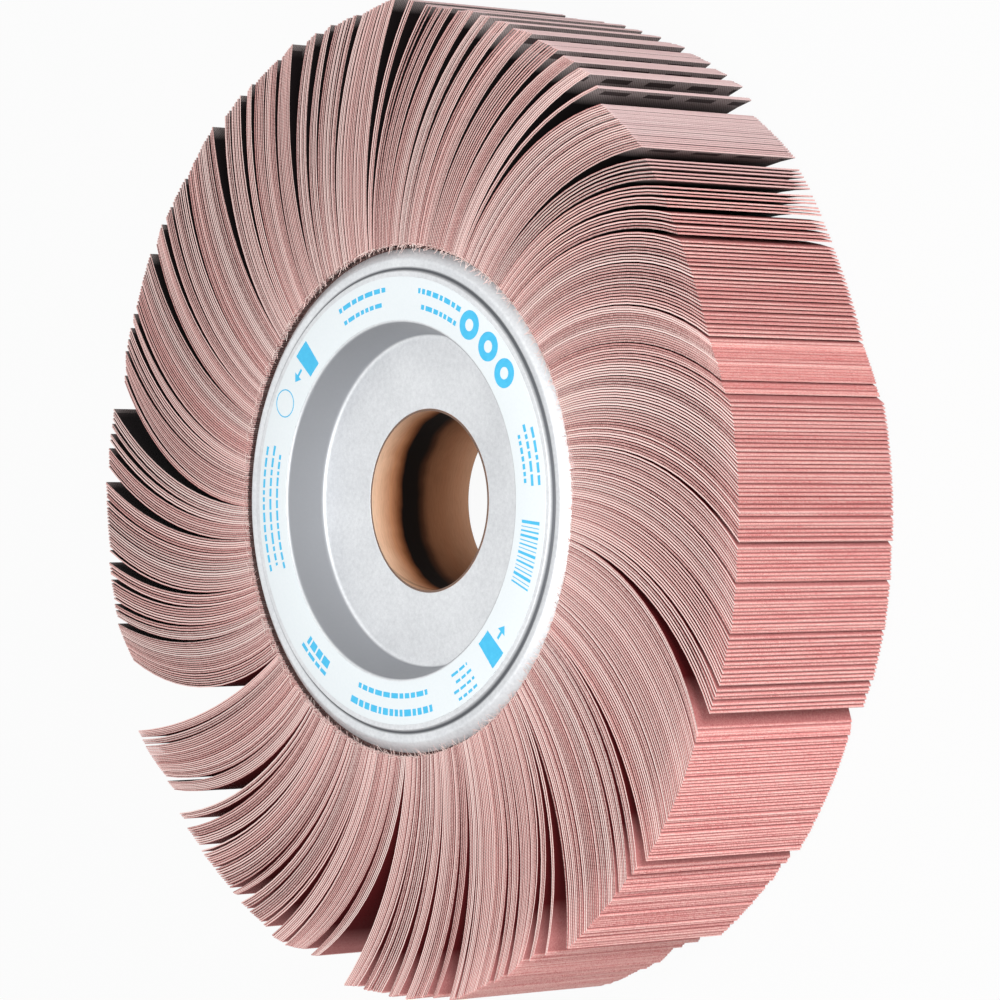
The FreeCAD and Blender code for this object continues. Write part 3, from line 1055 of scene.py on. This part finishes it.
def white_floor():
    material = bpy.data.materials.new("white_floor")
    material.use_nodes = True
    material.node_tree.nodes.clear()
    graph = Graph(material.node_tree)
    matte = graph.node("ShaderNodeBsdfDiffuse", {"Color": FLOOR_GREY})
    glow = graph.node("ShaderNodeEmission", {"Color": WHITE, "Strength": 1.0})
    mixed = graph.node("ShaderNodeMixShader", {0: graph.seen() * FLOOR_GLOW, 1: matte, 2: glow})
    graph.node("ShaderNodeOutputMaterial", {"Surface": mixed})
    return material


rest_z = cad_low.z
floor_mesh = bpy.data.meshes.new("floor")
signs = ((-1, -1), (1, -1), (1, 1), (-1, 1))
floor_mesh.from_pydata([(x * FLOOR_HALF, y * FLOOR_HALF, rest_z) for x, y in signs], [],
                       [(0, 1, 2, 3)])
floor = bpy.data.objects.new("floor", floor_mesh)
bpy.context.scene.collection.objects.link(floor)
floor.data.materials.append(white_floor())

world = bpy.data.worlds.new("studio")
world.use_nodes = True
bpy.context.scene.world = world
world.node_tree.nodes.clear()
sky = Graph(world.node_tree)
dome = sky.node("ShaderNodeBackground", {"Color": WHITE, "Strength": SKY_LIGHT})
backdrop = sky.node("ShaderNodeBackground", {"Color": WHITE, "Strength": 1.0})
sky_mix = sky.node("ShaderNodeMixShader", {0: sky.seen(), 1: dome, 2: backdrop})
sky.node("ShaderNodeOutputWorld", {"Surface": sky_mix})
print("floor at", round(rest_z / MM, 2), "mm")

# %% Lights
def area_light(name, place, size, watts, mirrored):
    """A soft light that looks at the wheel, and shows in the steel or not."""
    lamp = bpy.data.lights.new(name, "AREA")
    lamp.shape = "SQUARE"
    lamp.size = size
    lamp.energy = watts
    holder = bpy.data.objects.new(name, lamp)
    holder.location = place
    holder.rotation_euler = (-Vector(place)).to_track_quat("-Z", "Y").to_euler()
    holder.visible_glossy = mirrored
    bpy.context.scene.collection.objects.link(holder)


area_light("key", (0.42, -0.08, 0.92), 0.5, 11.5, True)
area_light("side", (1.40, 0.60, 0.50), 0.7, 14.5, False)
print("lights: key and side")

# %% Camera
CAMERA_PLACE = (0.84238, -0.00008, 0.72333)
CAMERA_RIGHT = (0.65527, 0.00026, -0.75540)
CAMERA_UP = (0.00000, 1.00000, 0.00034)
CAMERA_BACK = (0.75540, -0.00022, 0.65527)
camera_data = bpy.data.cameras.new("camera")
camera_data.sensor_width = 36
camera_data.lens = 160.1
camera = bpy.data.objects.new("camera", camera_data)
bpy.context.scene.collection.objects.link(camera)
turn = Matrix((CAMERA_RIGHT, CAMERA_UP, CAMERA_BACK)).transposed().to_4x4()
camera.matrix_world = Matrix.Translation(CAMERA_PLACE) @ turn
bpy.context.scene.camera = camera
bpy.context.scene.view_settings.view_transform = "Standard"
print("camera at", CAMERA_PLACE, "m")
